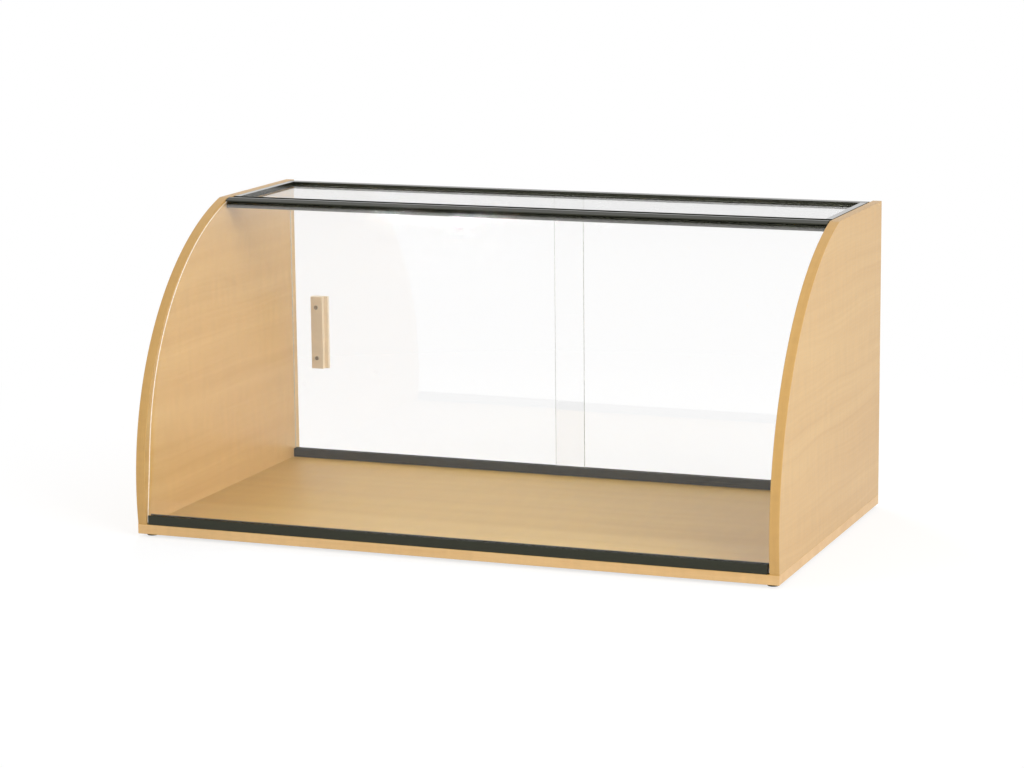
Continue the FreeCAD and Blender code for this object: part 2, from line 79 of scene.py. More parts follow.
def linear(hex_colour):
    """An sRGB hex colour as the linear RGBA that a shader takes."""
    channels = [int(hex_colour[i:i + 2], 16) / 255 for i in (1, 3, 5)]
    return [c / 12.92 if c <= 0.04045 else ((c + 0.055) / 1.055) ** 2.4 for c in channels] + [1]


print("half-bright grey is", round(linear("#808080")[0], 3), "in linear light")

# %% [markdown]
# A node tree reads best when each node takes one line. This helper makes a node, sets its
# properties, and fills its inputs. An input may be a number, a colour, a socket, or another
# node, which stands for its first output.

# %% One helper for every node
def fill(tree, node, inputs):
    """Links or types in a node's inputs, given by name or number, or in order."""
    for key, value in (inputs.items() if isinstance(inputs, dict) else enumerate(inputs)):
        if isinstance(value, bpy.types.Node):
            value = value.outputs[0]
        if isinstance(value, bpy.types.NodeSocket):
            tree.links.new(value, node.inputs[key])
        else:
            node.inputs[key].default_value = value


def add_node(tree, kind, inputs=(), **settings):
    node = tree.nodes.new(kind)
    for name, value in settings.items():
        setattr(node, name, value)
    fill(tree, node, inputs)
    return node


# %% [markdown]
# A form is built in a bmesh, Blender's workbench for single vertices and faces, and then stored
# as a mesh. A mesh, a lamp or a lens shows once an object in the scene holds it.

# %% Store a form, and put data in the scene
def store(form, name):
    mesh = bpy.data.meshes.new(name)
    form.to_mesh(mesh)
    form.free()
    return mesh


def new_object(name, data=None):
    thing = bpy.data.objects.new(name, data or bpy.data.meshes.new(name))
    SCENE.collection.objects.link(thing)
    return thing


# %% [markdown]
# The camera stands over 4 m away, to the right of the case's middle and above its top, with a
# long lens, so the case shows little perspective. It looks down about ten degrees.

# %% Camera
CAMERA_PLACE = Vector((1.5325, -3.97366, 0.98628))
CAMERA_DOWN = math.radians(10.5201)
CAMERA_LEFT = math.radians(21.0980)
CAMERA_ROLL = math.radians(-0.5758)
SENSOR_WIDTH = 36
LENS = 109.943

ahead = Vector((-math.sin(CAMERA_LEFT) * math.cos(CAMERA_DOWN),
                math.cos(CAMERA_LEFT) * math.cos(CAMERA_DOWN), -math.sin(CAMERA_DOWN)))
level = Vector((math.cos(CAMERA_LEFT), math.sin(CAMERA_LEFT), 0))
upward = level.cross(ahead)
right = level * math.cos(CAMERA_ROLL) + upward * math.sin(CAMERA_ROLL)
top = upward * math.cos(CAMERA_ROLL) - level * math.sin(CAMERA_ROLL)

lens = bpy.data.cameras.new("studio_camera")
lens.lens, lens.sensor_width = LENS, SENSOR_WIDTH
camera = new_object("studio_camera", lens)
turn = Matrix((right, top, -ahead)).transposed().to_4x4()
camera.matrix_world = Matrix.Translation(CAMERA_PLACE) @ turn
SCENE.camera = camera
print("camera stands", round(CAMERA_PLACE.length, 2), "m from the case's origin")

# %% [markdown]
# A studio set needs a floor with no edge in sight. The floor here is a wide disc. What
# the lens sees of it is part paint, which darkens in shade, and part glow, which doesn't, so
# the case keeps a soft shadow on an otherwise white sheet. Far from the case only glow is
# left, which meets the white of the world with no line. Light Path tells the two uses of a
# surface apart: seen directly, mirrored or through glass, or only as a source of light.

# %% Seen by eye
def seen_by_eye(tree):
    """1 for rays that reach the lens without a matt bounce on the way, else 0."""
    path = add_node(tree, "ShaderNodeLightPath").outputs
    shown = add_node(tree, "ShaderNodeMath", (path["Is Camera Ray"], path["Is Glossy Ray"]))
    shown = add_node(tree, "ShaderNodeMath", (shown, path["Is Transmission Ray"]), use_clamp=True)
    untouched = add_node(tree, "ShaderNodeMath", (path["Diffuse Depth"], 0.5),
                         operation="LESS_THAN")
    return add_node(tree, "ShaderNodeMath", (shown, untouched), operation="MULTIPLY")


# %% Floor
FLOOR_RADIUS = 60
FLOOR_SIDES = 64
FADE_START, FADE_END = 0.5, 1.4
FLOOR_PAINT = 0.3
FLOOR_GLOW = 0.76
FLOOR_ALBEDO = 0.8


def floor_material():
    material = bpy.data.materials.new("white_painted_floor")
    material.use_nodes = True
    tree = material.node_tree
    tree.nodes.clear()
    place = add_node(tree, "ShaderNodeTexCoord").outputs["Object"]
    reach = add_node(tree, "ShaderNodeVectorMath", (place,), operation="LENGTH").outputs["Value"]
    far = add_node(tree, "ShaderNodeMapRange",
                   {"Value": reach, "From Min": FADE_START, "From Max": FADE_END},
                   interpolation_type="SMOOTHSTEP")
    tone = add_node(tree, "ShaderNodeMath", (far, -FLOOR_PAINT, FLOOR_PAINT),
                    operation="MULTIPLY_ADD")
    shine = add_node(tree, "ShaderNodeMath", (far, 1 - FLOOR_GLOW, FLOOR_GLOW),
                     operation="MULTIPLY_ADD")
    paint = add_node(tree, "ShaderNodeBsdfDiffuse", {"Color": tone})
    glow = add_node(tree, "ShaderNodeEmission", {"Strength": shine})
    seen = add_node(tree, "ShaderNodeAddShader", (paint, glow))
    plain = add_node(tree, "ShaderNodeBsdfDiffuse", {"Color": [FLOOR_ALBEDO] * 3 + [1]})
    both = add_node(tree, "ShaderNodeMixShader", (seen_by_eye(tree), plain, seen))
    add_node(tree, "ShaderNodeOutputMaterial", {"Surface": both})
    return material


disc = bmesh.new()
bmesh.ops.create_circle(disc, cap_ends=True, radius=FLOOR_RADIUS, segments=FLOOR_SIDES)
floor = new_object("studio_floor", store(disc, "studio_floor"))
floor.data.materials.append(floor_material())
print("the floor reaches", FLOOR_RADIUS, "m and is all glow past", FADE_END, "m")

# %% World
WORLD_LIGHT = 0.72
world = bpy.data.worlds.new("studio_world")
world.use_nodes = True
world.node_tree.nodes.clear()
strength = add_node(world.node_tree, "ShaderNodeMapRange",
                    {"Value": seen_by_eye(world.node_tree), "To Min": WORLD_LIGHT, "To Max": 1.0})
sky = add_node(world.node_tree, "ShaderNodeBackground", {"Strength": strength})
add_node(world.node_tree, "ShaderNodeOutputWorld", {"Surface": sky})
SCENE.world = world
print("the world is white to the eye and lights the case at", WORLD_LIGHT)

# %% [markdown]
# Two large softboxes give the plain light of a studio. The stronger one stands on the right, so
# the right panel's outside is the brightest wood, and the inside of the case falls off gently
# towards its lower left corner. A smaller box behind on the left reaches the display floor
# through the doors. None of them should be mirrored in the panes, so they are hidden from glossy
# rays. Without multiple importance sampling no ray that leaves a clear sheet can run into one
# either, while the wood behind the sheet is still lit by them all.

# %% Lights
SOFTBOXES = {
    "right_softbox": dict(place=(2.4, -1.5, 1.5), size=1.9, watts=48),
    "left_softbox": dict(place=(-2.6, -3.0, 1.8), size=2.0, watts=22),
    "rear_softbox": dict(place=(-1.2, 2.0, 2.6), size=0.6, watts=22),
}
AIM = (cad_bounds[0] + cad_bounds[1]) / 2

for name, box_light in SOFTBOXES.items():
    lamp = bpy.data.lights.new(name, "AREA")
    lamp.shape, lamp.size, lamp.energy = "SQUARE", box_light["size"], box_light["watts"]
    lamp.cycles.use_multiple_importance_sampling = False
    holder = new_object(name, lamp)
    place = Vector(box_light["place"])
    facing = (AIM - place).to_track_quat("-Z", "Y").to_matrix().to_4x4()
    holder.matrix_world = Matrix.Translation(place) @ facing
    holder.visible_glossy = False
print("lights:", ", ".join(SOFTBOXES))

# %% [markdown]
# ## Wood
# Maple is pale, close-grained and almost without pores. What the eye catches is a slow drift of
# tone in bands along the grain, faint growth lines a few millimetres apart, and a silky cross
# figure. Veneer adds one thing: it is laid in leaves, so the tone steps a little at each joint.
# Every board is coated with clear lacquer, which is a Coat on the Principled shader. The lacquer
# carries the gloss, so the wood under it has little sheen of its own, and looks paler the lower
# the angle it is seen from.
#
# All of it is worked out from where a point lies along and across the grain. A noise squeezed
# across the grain and stretched along it makes fibres, and each stretch is a real size in
# millimetres. The finest fibres are drawn three times too wide, because the real ones are
# too thin to show from this distance.

# %% Grain sizes, along and across
BAND = (mm(700), mm(26))
GROWTH_LINE = (mm(420), mm(4.5))
FIBRE = (mm(16), mm(0.8))
FIGURE = (mm(9), mm(60))
FLECK = (mm(4), mm(0.9))
WANDER = (mm(240), mm(130))
WANDER_REACH = mm(5)
LEAF_WIDTH = mm(152)
FIBRE_HEIGHT = mm(0.02)

# %% Noise as long and as wide as wanted
NOISE_LOW, NOISE_HIGH = 0.3, 0.7


def new_material(name):
    """A material, its node tree and its Principled shader."""
    material = bpy.data.materials.new(name)
    material.use_nodes = True
    return material, material.node_tree, material.node_tree.nodes["Principled BSDF"]


def squeezed_noise(tree, spot, size, detail, offset=0.0):
    """Noise whose features are as long and as wide as size says, along and across the grain."""
    along, across = size
    scaled = add_node(tree, "ShaderNodeVectorMath",
                      (spot, (1 / along, 1 / across, 1 / across), (offset,) * 3),
                      operation="MULTIPLY_ADD")
    return add_node(tree, "ShaderNodeTexNoise", {"Vector": scaled, "Scale": 1.0, "Detail": detail})


def swing(tree, noise, low, high):
    """Spreads a noise, which stays near a half, over the range from low to high."""
    return add_node(tree, "ShaderNodeMapRange", {"Value": noise, "From Min": NOISE_LOW,
                    "From Max": NOISE_HIGH, "To Min": low, "To Max": high})


def grain_spot(tree, along):
    """A point's place as (along the grain, across it, through it), for an axis or a UV map."""
    if along == "UV":
        return add_node(tree, "ShaderNodeUVMap", uv_map="grain")
    place = add_node(tree, "ShaderNodeTexCoord").outputs["Object"]
    parts = add_node(tree, "ShaderNodeSeparateXYZ", (place,)).outputs
    order = {"X": "XYZ", "Y": "YZX", "Z": "ZXY"}[along]
    return add_node(tree, "ShaderNodeCombineXYZ", [parts[axis] for axis in order])


# %% [markdown]
# The grain is built up in layers. Its lines wander a few millimetres across the board, bands and
# growth lines and veneer leaves choose between a light and a dark tone, and fibres and figure
# shade the result by a few parts in a hundred. Short dark flecks, the rays of the wood, come
# last. Each layer adds its own number to the seed, so that no two of them line up.

# %% Layers of the grain
BAND_SHARE, LINE_SHARE, LEAF_SHARE = 0.55, 0.25, 0.2
EDGE_ON = 0.6


def wandering(tree, spot, seed):
    """The spot moved a little across the grain, so that no line of it is quite straight."""
    sway = squeezed_noise(tree, spot, WANDER, 1, seed + 5)
    shift = add_node(tree, "ShaderNodeCombineXYZ",
                     {1: swing(tree, sway, -WANDER_REACH, WANDER_REACH)})
    return add_node(tree, "ShaderNodeVectorMath", (spot, shift), operation="ADD")


def darkness(tree, spot, seed, leaves):
    """How far the wood is from its light tone to its dark one."""
    bands = swing(tree, squeezed_noise(tree, spot, BAND, 3, seed), 0, BAND_SHARE)
    lines = swing(tree, squeezed_noise(tree, spot, GROWTH_LINE, 2, seed + 11), 0, LINE_SHARE)
    total = add_node(tree, "ShaderNodeMath", (bands, lines))
    if leaves:
        across = add_node(tree, "ShaderNodeSeparateXYZ", (spot,)).outputs[1]
        widths = add_node(tree, "ShaderNodeMath", (across, LEAF_WIDTH), operation="DIVIDE")
        leaf = add_node(tree, "ShaderNodeMath", (widths,), operation="FLOOR")
        step = add_node(tree, "ShaderNodeTexWhiteNoise", {"W": leaf}, noise_dimensions="1D")
        total = add_node(tree, "ShaderNodeMath", (step, LEAF_SHARE, total),
                         operation="MULTIPLY_ADD")
    return total


def board_tones(tree, tones, lipping):
    """The light and the dark tone. Lipping gives others to the edges of a board that lies flat."""
    tones = [linear(tone) for tone in tones]
    if not lipping:
        return tones
    normal = add_node(tree, "ShaderNodeTexCoord").outputs["Normal"]
    upright = add_node(tree, "ShaderNodeSeparateXYZ", (normal,)).outputs[2]
    level = add_node(tree, "ShaderNodeMath", (upright,), operation="ABSOLUTE")
    edge = add_node(tree, "ShaderNodeMath", (level, EDGE_ON), operation="LESS_THAN")
    return [add_node(tree, "ShaderNodeMix", {0: edge, 6: tone, 7: linear(edge_tone)},
                     data_type="RGBA").outputs[2] for tone, edge_tone in zip(tones, lipping)]


# %% Lacquered wood
FIBRE_SHADE, FIGURE_SHADE = 0.035, 0.025
FLECK_START, FLECK_FULL, FLECK_SHADE = 0.7, 0.8, 0.35
FIBRE_ROUGHNESS = (0.38, 0.55)
FIBRE_RELIEF = 0.25
WOOD_SHEEN = 0.15


def wood(name, tones, along, seed, leaves=True, lacquer=0.8, gloss=0.38, lipping=None):
    """Lacquered or bare wood with its grain along an axis, or along its own UV map."""
    material, tree, shader = new_material(name)
    light, dark = board_tones(tree, tones, lipping)
    spot = wandering(tree, grain_spot(tree, along), seed)
    fibres = squeezed_noise(tree, spot, FIBRE, 2, seed)
    figure = squeezed_noise(tree, spot, FIGURE, 1, seed + 3)
    shade = add_node(tree, "ShaderNodeMath",
                     (swing(tree, fibres, -FIBRE_SHADE, FIBRE_SHADE),
                      swing(tree, figure, 1 - FIGURE_SHADE, 1 + FIGURE_SHADE)))
    fleck = add_node(tree, "ShaderNodeMapRange",
                     {"Value": squeezed_noise(tree, spot, FLECK, 0, seed + 17),
                      "From Min": FLECK_START, "From Max": FLECK_FULL, "To Max": FLECK_SHADE})
    colour = light
    for amount, layer, mode in ((darkness(tree, spot, seed, leaves), dark, "MIX"),
                                (1.0, shade, "MULTIPLY"), (fleck, dark, "MIX")):
        colour = add_node(tree, "ShaderNodeMix", {0: amount, 6: colour, 7: layer},
                          data_type="RGBA", blend_type=mode).outputs[2]
    relief = add_node(tree, "ShaderNodeBump", {"Height": fibres, "Strength": FIBRE_RELIEF,
                      "Distance": FIBRE_HEIGHT})
    fill(tree, shader, {
        "Base Color": colour, "Roughness": swing(tree, fibres, *FIBRE_ROUGHNESS),
        "Normal": relief, "Specular IOR Level": WOOD_SHEEN,
        "Coat Weight": lacquer, "Coat Roughness": gloss})
    return material


# %% The case's woods
FACE_TONES = ("#DBB370", "#CC9E58")
BASE_TONES = ("#CCA64C", "#BF9237")
BAND_TONES = ("#D5AB68", "#C4954F")
LIPPING_TONES = ("#ECC48A", "#DAAC6C")
PULL_TONES = ("#FBE7CC", "#F0D7B4")
BEECH_TONES = ("#CDA67C", "#B58A60")

panel_veneer = wood("maple_veneer_lacquered", FACE_TONES, along="UV", seed=2.0)
panel_band = wood("maple_edge_band_lacquered", BAND_TONES, along="UV", seed=7.0, leaves=False)
base_veneer = wood("maple_veneered_base_lacquered", BASE_TONES, along="X", seed=4.0,
                   lacquer=1.0, gloss=0.5, lipping=LIPPING_TONES)
pull_wood = wood("solid_maple_lacquered", PULL_TONES, along="Z", seed=9.0, leaves=False)
dowel_wood = wood("beech_bare", BEECH_TONES, along="Z", seed=12.0, leaves=False, lacquer=0.0)
woods = (panel_veneer, panel_band, base_veneer, pull_wood, dowel_wood)
print("woods:", ", ".join(material.name for material in woods))

# %% [markdown]
# ## Acrylic
# Cast acrylic is clearer than window glass and bends light a little less. Its faces are almost
# perfect mirrors at a low angle, with a haze of wipe marks where hands have been. Lamps shine
# through a sheet, but a path tracer's shadow ray stops at solid glass, so for shadow rays alone
# the sheet is a clear film with the small loss of a real one. The doors' edges are scraped and
# polished, and show as thin grey-green lines. The bent pane's edges are only sanded, so they are
# white, and they carry a faint painted glow: an emission that stands in for the light the sheet
# carries to them.

# %% Plain noise and drifting colour
def even_noise(tree, size, detail):
    """Noise whose features are as wide as they are long."""
    place = add_node(tree, "ShaderNodeTexCoord").outputs["Object"]
    return squeezed_noise(tree, place, (size, size), detail)


def drifting_colour(tree, noise, first, second, reach=1.0):
    """A colour that drifts from one hex tone towards another as a noise rises."""
    return add_node(tree, "ShaderNodeMix", {0: swing(tree, noise, 0, reach), 6: linear(first),
                    7: linear(second)}, data_type="RGBA").outputs[2]


# %% Clear sheets
ACRYLIC_IOR = 1.491
SHEET_TINT = "#FFFFFF"
SHADOW_TINT = "#F4F6F5"
WIPE_MARK = mm(60)
WIPE_HAZE = 0.02


def acrylic_face():
    material, tree, shader = new_material("cast_acrylic_clear")
    wipes = even_noise(tree, WIPE_MARK, 3)
    fill(tree, shader, {
        "Base Color": linear(SHEET_TINT), "Roughness": swing(tree, wipes, 0, WIPE_HAZE),
        "Transmission Weight": 1.0, "IOR": ACRYLIC_IOR})
    film = add_node(tree, "ShaderNodeBsdfTransparent", {"Color": linear(SHADOW_TINT)})
    lamp_ray = add_node(tree, "ShaderNodeLightPath").outputs["Is Shadow Ray"]
    both = add_node(tree, "ShaderNodeMixShader", (lamp_ray, shader, film))
    fill(tree, tree.nodes["Material Output"], {"Surface": both})
    return material


# %% Sawn edges
SCRAPE = mm(3)
SCRAPE_ROUGHNESS = (0.18, 0.34)
# Painted glow: a faint emission on the bent pane's edge, standing in for light the sheet carries.
PAINTED_GLOW_TINT = "#FFFFFA"
PAINTED_EDGE_GLOW = 0.35


def acrylic_edge(name, clear, cloudy, clearness, painted_glow=0.0):
    """A cut edge of a sheet: how clear it is, and how strongly a painted glow lights it."""
    material, tree, shader = new_material(name)
    scrape = even_noise(tree, SCRAPE, 2)
    # The emission paints a glow onto the edge; the edge is no lamp.
    fill(tree, shader, {
        "Base Color": drifting_colour(tree, scrape, clear, cloudy),
        "Roughness": swing(tree, scrape, *SCRAPE_ROUGHNESS),
        "Transmission Weight": clearness, "IOR": ACRYLIC_IOR,
        "Emission Color": linear(PAINTED_GLOW_TINT), "Emission Strength": painted_glow})
    return material


sheet_face = acrylic_face()
sheet_edge = acrylic_edge("cast_acrylic_polished_edge", "#D9DCCB", "#C4C8B4", 0.45)
# The bent pane's edge gets the painted glow.
bent_sheet_edge = acrylic_edge("cast_acrylic_sanded_edge", "#FFFFFA", "#F4F3EA", 0.1, PAINTED_EDGE_GLOW)
print("acrylic bends light by", ACRYLIC_IOR, "and its bent edge gives off", PAINTED_EDGE_GLOW)

# %% [markdown]
# ## Black strips, rubber and steel
# The rails, the channel and the door track are extruded: pressed hot through a die, which
# leaves fine lines along their whole length and a nearly glossy skin. The two side rails are
# lacquered as well, which brightens their tops at a low angle. The feet are moulded rubber,
# dull and slightly dusty. The screws are steel with a thin coat of zinc, warm from passivation.

# %% Extruded strips
DIE_LINE = (mm(160), mm(0.7))
DIE_LINE_HEIGHT, DIE_LINE_RELIEF = mm(0.02), 0.3
DIE_LINE_ROUGHNESS = (0.04, 0.06)
STRIP_SHEEN = "#F1F1DC"
SCUFF = (mm(24), mm(24))
SCUFF_ROUGHNESS = 0.04
SIDE_RAIL_POLISH = 0.9


def extrusion(name, along, polish=0.0):
    material, tree, shader = new_material(name)
    spot = grain_spot(tree, along)
    lines = squeezed_noise(tree, spot, DIE_LINE, 2)
    scuffs = squeezed_noise(tree, spot, SCUFF, 4, 3.0)
    rough = add_node(tree, "ShaderNodeMath", (swing(tree, lines, *DIE_LINE_ROUGHNESS),
                                              swing(tree, scuffs, 0, SCUFF_ROUGHNESS)))
    relief = add_node(tree, "ShaderNodeBump", {"Height": lines, "Strength": DIE_LINE_RELIEF,
                      "Distance": DIE_LINE_HEIGHT})
    fill(tree, shader, {
        "Base Color": drifting_colour(tree, lines, "#14160D", "#1E2015"), "Roughness": rough,
        "Normal": relief, "Specular Tint": linear(STRIP_SHEEN), "Coat Weight": polish})
    return material


strip_x = extrusion("black_extrusion_across", "X")
strip_y = extrusion("black_extrusion_deep", "Y", SIDE_RAIL_POLISH)

# %% Moulded rubber
RUBBER_GRAIN = mm(0.6)
RUBBER_GRAIN_HEIGHT, RUBBER_RELIEF = mm(0.05), 0.4
DUST = mm(5)
DUST_COVER = 0.7
DUST_ROUGHNESS = (0.62, 0.85)


def rubber():
    material, tree, shader = new_material("moulded_black_rubber")
    dust = even_noise(tree, DUST, 3)
    relief = add_node(tree, "ShaderNodeBump",
                      {"Height": even_noise(tree, RUBBER_GRAIN, 2), "Strength": RUBBER_RELIEF,
                       "Distance": RUBBER_GRAIN_HEIGHT})
    fill(tree, shader, {
        "Base Color": drifting_colour(tree, dust, "#191919", "#35332F", DUST_COVER),
        "Roughness": swing(tree, dust, *DUST_ROUGHNESS), "Normal": relief})
    return material


# %% Zinc plate
PLATING_CLOUD = mm(1.5)
PLATING_ROUGHNESS = (0.22, 0.4)


def zinc_plate():
    material, tree, shader = new_material("zinc_plated_steel")
    clouds = even_noise(tree, PLATING_CLOUD, 3)
    fill(tree, shader, {
        "Base Color": drifting_colour(tree, clouds, "#BAB5A8", "#8F897B"),
        "Roughness": swing(tree, clouds, *PLATING_ROUGHNESS), "Metallic": 1.0})
    return material


foot_rubber = rubber()
zinc = zinc_plate()
finishes = (strip_x, strip_y, foot_rubber, zinc)
print("finishes:", ", ".join(material.name for material in finishes))

# %% [markdown]
# ## Handing a piece to the frame
# Modifiers and node trees are a recipe. The frame needs the dish: a plain mesh at the origin,
# with its place in its vertices. This function evaluates the recipe, swaps the result in,
# drops the modifiers, and says which body the piece rides on and which plain solids it stands
# for. It prints how far the new box is from the old one, which should be almost nothing.

# %% Freeze, ride and replace
def box_of(nodes):
    """The box around several nodes of the frame."""
    lows, highs = zip(*(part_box(node) for node in nodes))
    return Vector(map(min, zip(*lows))), Vector(map(max, zip(*highs)))


def freeze(thing):
    """Turns an object with modifiers into a plain mesh."""
    graph = bpy.context.evaluated_depsgraph_get()
    mesh = bpy.data.meshes.new_from_object(thing.evaluated_get(graph), depsgraph=graph)
    thing.modifiers.clear()
    thing.data = mesh
    mesh.name = thing.name
    return thing


def hand_over(thing, body, slot, *nodes):
    """Puts a finished piece on its body, in the place of the nodes it was made for."""
    freeze(thing)
    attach(thing, body)
    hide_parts(*nodes)
    spots = [vertex.co for vertex in thing.data.vertices]
    low, high = (Vector(pick(axis) for axis in zip(*spots)) for pick in (min, max))
    off = max(abs(a - b) for mine, given in zip((low, high), box_of(nodes))
              for a, b in zip(mine, given))
    print(f"{thing.name}: {len(thing.data.polygons)} faces, box within {off * 1000:.2f} mm")


def finish_node(material, *nodes):
    """Gives nodes whose shape is already right their real finish."""
    for node in nodes:
        for material_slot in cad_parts[node].material_slots:
            material_slot.material = material
    print(material.name, "on", ", ".join(nodes))


# %% [markdown]
# Three small helpers do what several pieces share: a prism between two outlines, a block whose
# corners a function puts in place, and shading that is smooth up to a corner of some angle.

# %% Forms
def prism(first_end, second_end):
    """A closed form between two outlines that have as many points."""
    form = bmesh.new()
    ends = [[form.verts.new(point) for point in outline] for outline in (first_end, second_end)]
    for end in ends:
        form.faces.new(end)
    for here in range(len(ends[0])):
        there = (here + 1) % len(ends[0])
        form.faces.new((ends[0][there], ends[0][here], ends[1][here], ends[1][there]))
    bmesh.ops.recalc_face_normals(form, faces=form.faces)
    return form


def block(place):
    """A cube with sides of 1 around the origin, whose corners a function puts in place."""
    form = bmesh.new()
    bmesh.ops.create_cube(form, size=1)
    for vertex in form.verts:
        vertex.co = place(vertex.co)
    return form


def smooth(mesh, corner):
    """Shades a mesh smooth, save at corners of more than an angle in degrees."""
    mesh.shade_smooth()
    mesh.set_sharp_from_angle(angle=math.radians(corner))


# %% [markdown]
# ## Side panels
# A panel is an outline drawn out to the board's thickness: one arc for the front, straight top,
# back and foot. The arc is upright a little above the base and its radius follows from how far
# it reaches forward and how high it rises. The long edges get a small rounding, the arris, that
# catches the light. Two materials share the mesh: veneer on the faces and a band on the edges.
# The grain map is a UV map in metres, along the board on the faces and round the outline on the
# band, so the band's grain bends with the curve, as a strip ironed on with a roller does.

# %% The panel's outline
CURVE_REACH = mm(279.4)
SHOULDER_HEIGHT = mm(47.5)
ARC_STEPS = 96


def panel_outline(low, high):
    """The arc's centre and radius, and the outline's points from the foot round to the foot."""
    front, shoulder = -high.y, low.z + SHOULDER_HEIGHT
    rise = high.z - shoulder
    radius = (CURVE_REACH ** 2 + rise ** 2) / (2 * CURVE_REACH)
    centre = Vector((0, front + radius, shoulder))
    first = math.asin(-SHOULDER_HEIGHT / radius)
    last = math.asin(rise / radius)
    angles = [first + (last - first) * step / ARC_STEPS for step in range(ARC_STEPS + 1)]
    points = [centre + radius * Vector((0, -math.cos(a), math.sin(a))) for a in angles]
    return centre, radius, points + [Vector((0, high.y, high.z)), Vector((0, high.y, low.z))]


# %% The grain map
EDGE_SLOPE = 0.75
SQUARE_ON = 0.6


def map_grain(mesh, centre, radius, offset):
    """Writes the grain map, and gives edge faces the second material."""
    layer = mesh.uv_layers.new(name="grain")
    for face in mesh.polygons:
        normal = face.normal
        is_edge = abs(normal.x) < EDGE_SLOPE
        face.material_index = int(is_edge)
        for corner in face.loop_indices:
            spot = mesh.vertices[mesh.loops[corner].vertex_index].co
            if not is_edge:
                layer.data[corner].uv = (spot.y, spot.z + offset)
            elif normal.y > SQUARE_ON:
                layer.data[corner].uv = (spot.z, spot.x)
            elif abs(normal.z) > SQUARE_ON and spot.y > centre.y - radius + CURVE_REACH:
                layer.data[corner].uv = (spot.y, spot.x)
            else:
                angle = math.atan2(spot.z - centre.z, centre.y - spot.y)
                layer.data[corner].uv = (angle * radius, spot.x)


# %% Side panels
ARRIS = mm(0.8)
ARRIS_STEPS = 3
PANEL_CORNER = 50


def side_panel(node):
    low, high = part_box(node)
    centre, radius, outline = panel_outline(low, high)
    shell = prism(*([(x, p.y, p.z) for p in outline] for x in (low.x, high.x)))
    worked = [edge for edge in shell.edges
              if edge.verts[0].co.x == edge.verts[1].co.x
              and max(v.co.z for v in edge.verts) > low.z + ARRIS]
    bmesh.ops.bevel(shell, geom=worked, offset=ARRIS, segments=ARRIS_STEPS, profile=0.5,
                    affect="EDGES", clamp_overlap=True)
    mesh = store(shell, node)
    map_grain(mesh, centre, radius, offset=low.x)
    mesh.materials.append(panel_veneer)
    mesh.materials.append(panel_band)
    smooth(mesh, PANEL_CORNER)
    board = new_object(node.replace("side_panel", "side_board"), mesh)
    board.modifiers.new("flat_faces", "WEIGHTED_NORMAL").keep_sharp = True
    hand_over(board, "case", "maple_veneer_board", node)


for node in ("side_panel_left", "side_panel_right"):
    side_panel(node)

# %% Pieces that only need their finish
finish_node(base_veneer, "base_board")
finish_node(strip_x, "front_channel", "front_top_rail", "rear_top_rail", "rear_door_track")
finish_node(strip_y, "top_side_rail_left", "top_side_rail_right")

# %% [markdown]
# ## The curved pane
# The front pane follows a rule, so Geometry Nodes make it: a flat stretch that leans back, then
# one arc. A point on the path is found from how far along it lies. Up to the bend it moves
# straight along the lean; past it, it turns with the arc. The path is then swept with a thin
# rectangle whose corners are rounded, and the faces that look sideways get the edge material.

# %% A node tree with named inputs
def tree_with_inputs(name, sockets):
    """A geometry node tree, its input node, and the identifier of each named input."""
    tree = bpy.data.node_groups.new(name, "GeometryNodeTree")
    tree.interface.new_socket("Geometry", in_out="OUTPUT", socket_type="NodeSocketGeometry")
    identifiers = {}
    for label, kind in sockets.items():
        socket = tree.interface.new_socket(label, in_out="INPUT", socket_type="NodeSocket" + kind)
        identifiers[label] = socket.identifier
    return tree, add_node(tree, "NodeGroupInput").outputs, identifiers


def grow(name, tree, identifiers, values):
    """A new object whose mesh comes from the tree, with the tree's inputs set."""
    thing = new_object(name)
    modifier = thing.modifiers.new("recipe", "NODES")
    modifier.node_group = tree
    for label, value in values.items():
        modifier[identifiers[label]] = value
    return thing


# %% Along the pane's path
PATH_POINTS = 72
CORNER_STEPS = 2
SIDEWAYS = 0.5

pane_tree, given, pane_inputs = tree_with_inputs("sprung_pane", {
    "Width": "Float", "Thickness": "Float", "Corner": "Float", "Foot": "Vector",
    "Lean": "Float", "Flat": "Float", "Radius": "Float", "Sweep": "Float",
    "Face": "Material", "Edge": "Material"})

length = add_node(pane_tree, "ShaderNodeMath", (given["Radius"], given["Sweep"], given["Flat"]),
                  operation="MULTIPLY_ADD")
share = add_node(pane_tree, "GeometryNodeSplineParameter").outputs["Factor"]
travelled = add_node(pane_tree, "ShaderNodeMath", (share, length), operation="MULTIPLY")
on_flat = add_node(pane_tree, "ShaderNodeMath", (travelled, given["Flat"]), operation="MINIMUM")
on_arc = add_node(pane_tree, "ShaderNodeMath", (travelled, on_flat), operation="SUBTRACT")
turned = add_node(pane_tree, "ShaderNodeMath", (on_arc, given["Radius"]), operation="DIVIDE")
heading = add_node(pane_tree, "ShaderNodeMath", (given["Lean"], turned))


def path_axis(first, second, sign):
    """on_flat * first(lean) + sign * radius * (second(heading) - second(lean))"""
    straight, end, start = (
        add_node(pane_tree, "ShaderNodeMath", (angle,), operation=wave)
        for angle, wave in ((given["Lean"], first), (heading, second), (given["Lean"], second)))
    bent = add_node(pane_tree, "ShaderNodeMath", (end, start), operation="SUBTRACT")
    reach = add_node(pane_tree, "ShaderNodeMath", (given["Radius"], sign), operation="MULTIPLY")
    bent = add_node(pane_tree, "ShaderNodeMath", (bent, reach), operation="MULTIPLY")
    return add_node(pane_tree, "ShaderNodeMath", (on_flat, straight, bent),
                    operation="MULTIPLY_ADD")


